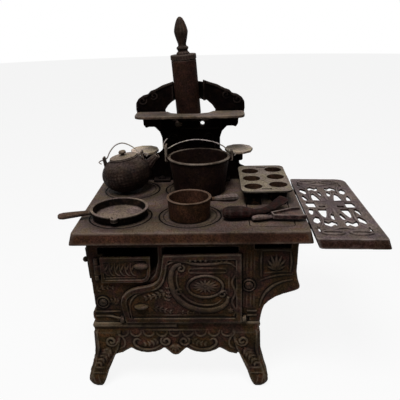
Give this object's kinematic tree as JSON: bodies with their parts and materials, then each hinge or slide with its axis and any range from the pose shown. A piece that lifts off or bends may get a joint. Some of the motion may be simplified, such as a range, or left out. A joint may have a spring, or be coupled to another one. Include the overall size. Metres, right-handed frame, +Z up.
{
  "type": "toy stove",
  "caption": "Cast iron toy kitchen stove on cabriole legs with stepped oven door, high back, stovepipe, slotted side shelf, kettle, pots, pans and tools.",
  "frame": {"origin": "centre of the bounding box on the floor under the feet", "axes": "+X towards the side shelf, +Y from the doors to the high back, +Z up"},
  "size_m": [0.2888, 0.1816, 0.3358],
  "materials": {
    "body_iron": "aged brown-black lacquer with rust showing through",
    "dark_iron": "sooty black",
    "plate_iron": "worn grey-brown, polished by use",
    "red_iron": "reddish brown rust patina",
    "pale_iron": "dusty tan-grey",
    "kettle_iron": "dark grey-brown",
    "steel_wire": "dull grey wire",
    "screw_steel": "rusted steel"
  },
  "bodies": {
    "stove": {"leg_base": "body_iron", "front_panel": "body_iron", "back_panel": "body_iron", "left_panel": "body_iron", "right_panel": "body_iron", "firebox_partition": "dark_iron", "fire_grate": "dark_iron", "fire_door_pin": "screw_steel", "side_door_pin": "screw_steel", "tie_screw_left": "screw_steel", "tie_nut_left": "screw_steel", "tie_screw_right": "screw_steel", "tie_nut_right": "screw_steel", "base_screw_front_left": "screw_steel", "base_screw_front_right": "screw_steel", "base_screw_back_left": "screw_steel", "base_screw_back_right": "screw_steel", "top_plate": "plate_iron", "high_back_screw_left": "screw_steel", "high_back_screw_right": "screw_steel", "high_back": "dark_iron", "warming_shelf": "plate_iron", "teapot_shelf_left": "plate_iron", "teapot_shelf_right": "plate_iron", "shelf_screw": "screw_steel"},
    "oven_door": {"oven_door": "body_iron"},
    "fire_door": {"fire_door": "body_iron"},
    "side_door": {"side_door": "body_iron"},
    "lid_front_left": {"lid_front_left": "plate_iron"},
    "lid_back_left": {"lid_back_left": "plate_iron"},
    "lid_front_middle": {"lid_front_middle": "plate_iron"},
    "lid_back_middle": {"lid_back_middle": "plate_iron"},
    "reservoir_lid": {"reservoir_lid": "plate_iron"},
    "side_shelf": {"side_shelf": "plate_iron"},
    "stovepipe": {"stovepipe": "body_iron"},
    "pipe_cap": {"pipe_cap": "body_iron"},
    "skillet": {"skillet": "pale_iron"},
    "saucepan": {"saucepan": "red_iron"},
    "muffin_pan": {"muffin_pan": "pale_iron"},
    "kettle_lid": {"kettle_lid": "kettle_iron"},
    "kettle_bail": {"kettle_bail": "steel_wire"},
    "stew_pot": {"stew_pot": "body_iron"},
    "stew_pot_bail": {"stew_pot_bail": "steel_wire"},
    "lid_lifter": {"lid_lifter": "red_iron"},
    "coal_shovel": {"coal_shovel": "red_iron"},
    "kettle": {"kettle_body": "kettle_iron"}
  },
  "joints": [
    {"name": "oven_door_hinge", "type": "hinge", "parent": "stove", "child": "oven_door", "pos_m": [-0.03167, -0.07171, 0.074], "axis": [1, 0, 0], "range_deg": [0, 88]},
    {"name": "fire_door_hinge", "type": "hinge", "parent": "stove", "child": "fire_door", "pos_m": [-0.10827, -0.07171, 0.1256], "axis": [0, 0, -1], "range_deg": [0, 110]},
    {"name": "side_door_hinge", "type": "hinge", "parent": "stove", "child": "side_door", "pos_m": [-0.11747, -0.00351, 0.12584], "axis": [0.0475, 0, -0.9989], "range_deg": [0, 100]},
    {"name": "lid_front_left_lift", "type": "slide", "parent": "stove", "child": "lid_front_left", "axis": [0, 0, 1], "range_m": [0, 0.02]},
    {"name": "lid_back_left_lift", "type": "slide", "parent": "stove", "child": "lid_back_left", "axis": [0, 0, 1], "range_m": [0, 0.015]},
    {"name": "lid_front_middle_lift", "type": "slide", "parent": "stove", "child": "lid_front_middle", "axis": [0, 0, 1], "range_m": [0, 0.02]},
    {"name": "lid_back_middle_lift", "type": "slide", "parent": "stove", "child": "lid_back_middle", "axis": [0, 0, 1], "range_m": [0, 0.012]},
    {"name": "reservoir_lid_lift", "type": "slide", "parent": "stove", "child": "reservoir_lid", "axis": [0, 0, 1], "range_m": [0, 0.007]},
    {"name": "skillet_lift", "type": "slide", "parent": "lid_front_left", "child": "skillet", "axis": [0, 0, 1], "range_m": [0, 0.025]},
    {"name": "saucepan_lift", "type": "slide", "parent": "lid_front_middle", "child": "saucepan", "axis": [0, 0, 1], "range_m": [0, 0.03]},
    {"name": "kettle_lift", "type": "slide", "parent": "lid_back_left", "child": "kettle", "axis": [0, 0, 1], "range_m": [0, 0.018]},
    {"name": "kettle_lid_lift", "type": "slide", "parent": "kettle", "child": "kettle_lid", "axis": [-0.1564, 0, 0.9877], "range_m": [0, 0.0026]},
    {"name": "kettle_bail_swing", "type": "hinge", "parent": "kettle", "child": "kettle_bail", "pos_m": [-0.09603, 0.03169, 0.20107], "axis": [0.9877, 0, 0.1564], "range_deg": [-20, 80]},
    {"name": "stew_pot_lift", "type": "slide", "parent": "lid_back_middle", "child": "stew_pot", "axis": [0, 0, 1], "range_m": [0, 0.015]},
    {"name": "stew_pot_bail_swing", "type": "hinge", "parent": "stew_pot", "child": "stew_pot_bail", "pos_m": [-0.01787, 0.03169, 0.2065], "axis": [0.9975, 0, -0.0714], "range_deg": [-58, 106]},
    {"name": "muffin_pan_lift", "type": "slide", "parent": "reservoir_lid", "child": "muffin_pan", "axis": [0, 0, 1], "range_m": [0, 0.007]},
    {"name": "lid_lifter_lift", "type": "slide", "parent": "reservoir_lid", "child": "lid_lifter", "axis": [0, -0.5, 0.866], "range_m": [0, 0.02]},
    {"name": "coal_shovel_lift", "type": "slide", "parent": "reservoir_lid", "child": "coal_shovel", "axis": [0, -0.5, 0.866], "range_m": [0, 0.02]},
    {"name": "side_shelf_slide", "type": "slide", "parent": "stove", "child": "side_shelf", "axis": [1, 0, 0], "range_m": [0, 0.02]},
    {"name": "stovepipe_lift", "type": "slide", "parent": "stove", "child": "stovepipe", "axis": [-0.068, 0, 0.9977], "range_m": [0, 0.03]},
    {"name": "pipe_cap_lift", "type": "slide", "parent": "stovepipe", "child": "pipe_cap", "axis": [-0.068, 0, 0.9977], "range_m": [0, 0.008]}
  ]
}
